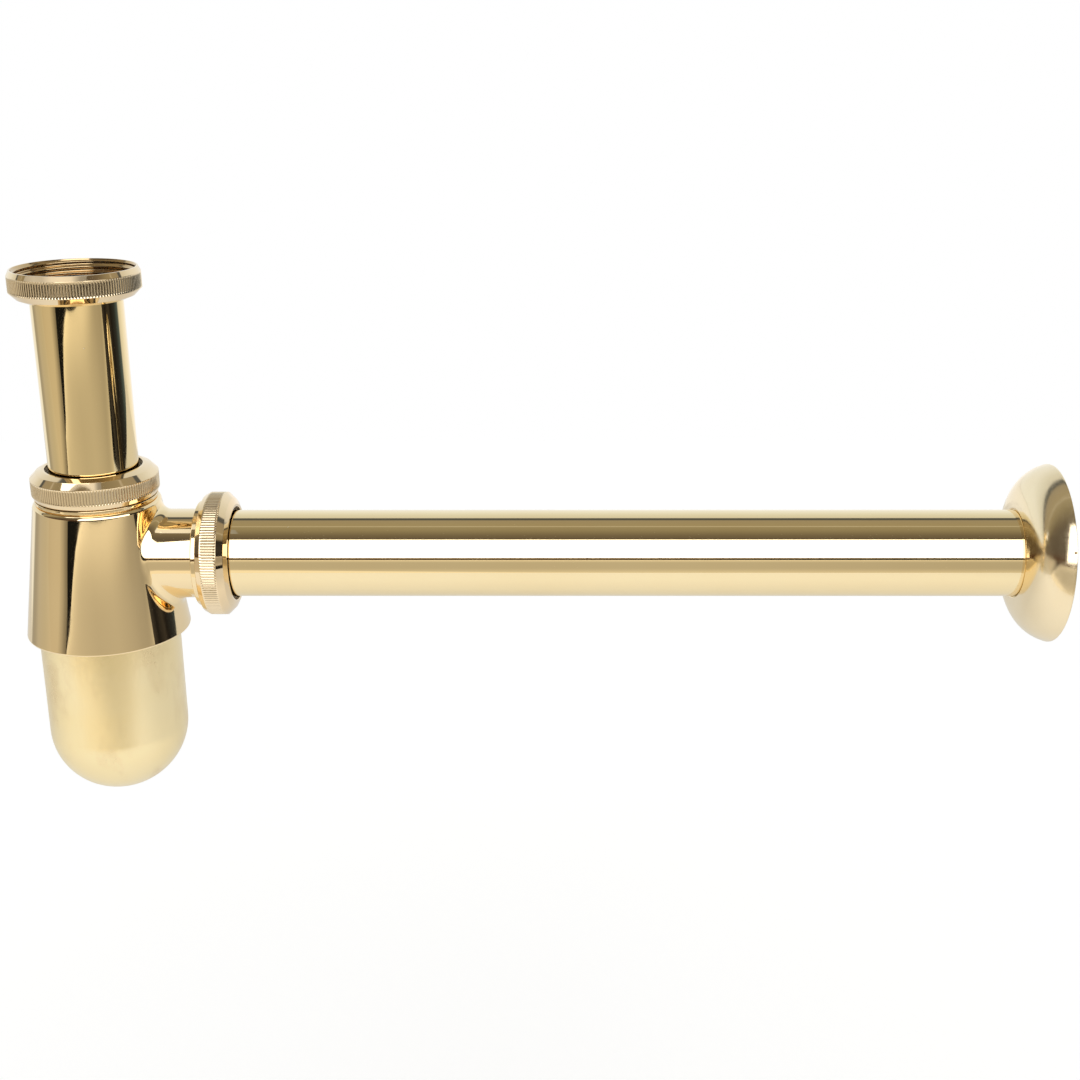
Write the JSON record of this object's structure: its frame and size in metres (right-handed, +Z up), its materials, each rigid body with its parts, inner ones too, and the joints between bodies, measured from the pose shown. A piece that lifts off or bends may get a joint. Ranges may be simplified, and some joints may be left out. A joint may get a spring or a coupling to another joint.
{
  "type": "bottle trap",
  "caption": "Brass bottle trap: knurled union nuts, inlet tube, conical body with a round-bottomed cleaning cup, outlet pipe and domed wall flange.",
  "frame": {"origin": "on the inlet nut's thread axis, at the sealing plane on top of its washer", "axes": "+Z up along the inlet axis and out of the inlet nut, +X along the outlet pipe to the wall"},
  "size_m": [0.3798, 0.0656, 0.1996],
  "materials": {
    "polished_brass": "mirror polish, gold colour",
    "nut_brass": "polished chamfers with a fine straight knurl",
    "cup_brass": "soft satin polish, pale gold",
    "seal_rubber": "matte black rubber",
    "slip_plastic": "matte black polyamide"
  },
  "bodies": {
    "inlet_nut": {"inlet_nut": "nut_brass", "inlet_washer": "seal_rubber"},
    "inlet_pipe": {"inlet_pipe": "polished_brass"},
    "trap_body": {"trap_body": "polished_brass", "body_seal": "seal_rubber", "outlet_seal": "seal_rubber"},
    "body_slip_ring": {"body_slip_ring": "slip_plastic"},
    "body_nut": {"body_nut": "nut_brass"},
    "outlet_slip_ring": {"outlet_slip_ring": "slip_plastic"},
    "outlet_nut": {"outlet_nut": "nut_brass"},
    "outlet_pipe": {"outlet_pipe": "polished_brass"},
    "wall_flange": {"wall_flange": "polished_brass"},
    "cup_gasket": {"cup_gasket": "seal_rubber"},
    "cup": {"cup": "cup_brass"}
  },
  "joints": [
    {"name": "inlet_swivel", "type": "hinge", "parent": "inlet_nut", "child": "inlet_pipe", "pos_m": [0, 0, -0.003], "axis": [0, 0, 1], "continuous": true},
    {"name": "body_height", "type": "slide", "parent": "inlet_pipe", "child": "trap_body", "axis": [0, 0, 1], "range_m": [-0.04, 0.012]},
    {"name": "body_nut_climb", "type": "slide", "parent": "trap_body", "child": "body_slip_ring", "axis": [0, 0, 1], "range_m": [0, 0.00467]},
    {"name": "body_nut_turn", "type": "hinge", "parent": "body_slip_ring", "child": "body_nut", "pos_m": [0, 0, -0.0714], "axis": [0, 0, 1], "range_deg": [0, 720]},
    {"name": "outlet_nut_climb", "type": "slide", "parent": "trap_body", "child": "outlet_slip_ring", "axis": [1, 0, 0], "range_m": [0, 0.00467]},
    {"name": "outlet_nut_turn", "type": "hinge", "parent": "outlet_slip_ring", "child": "outlet_nut", "pos_m": [0.0447, 0, -0.1], "axis": [1, 0, 0], "range_deg": [0, 720]},
    {"name": "outlet_pipe_draw", "type": "slide", "parent": "trap_body", "child": "outlet_pipe", "axis": [1, 0, 0], "range_m": [0, 0.004]},
    {"name": "flange_slide", "type": "slide", "parent": "outlet_pipe", "child": "wall_flange", "axis": [1, 0, 0], "range_m": [-0.28, 0]},
    {"name": "cup_drop", "type": "slide", "parent": "trap_body", "child": "cup_gasket", "axis": [0, 0, -1], "range_m": [0, 0.01205]},
    {"name": "cup_turn", "type": "hinge", "parent": "cup_gasket", "child": "cup", "pos_m": [0, 0, -0.15], "axis": [0, 0, -1], "range_deg": [0, 2160]}
  ],
  "couplings": [
    {"joint": "body_nut_climb", "follows": "body_nut_turn", "m_per_rad": 0.00036749},
    {"joint": "outlet_nut_climb", "follows": "outlet_nut_turn", "m_per_rad": 0.00036749},
    {"joint": "cup_drop", "follows": "cup_turn", "m_per_rad": 0.00031831}
  ]
}
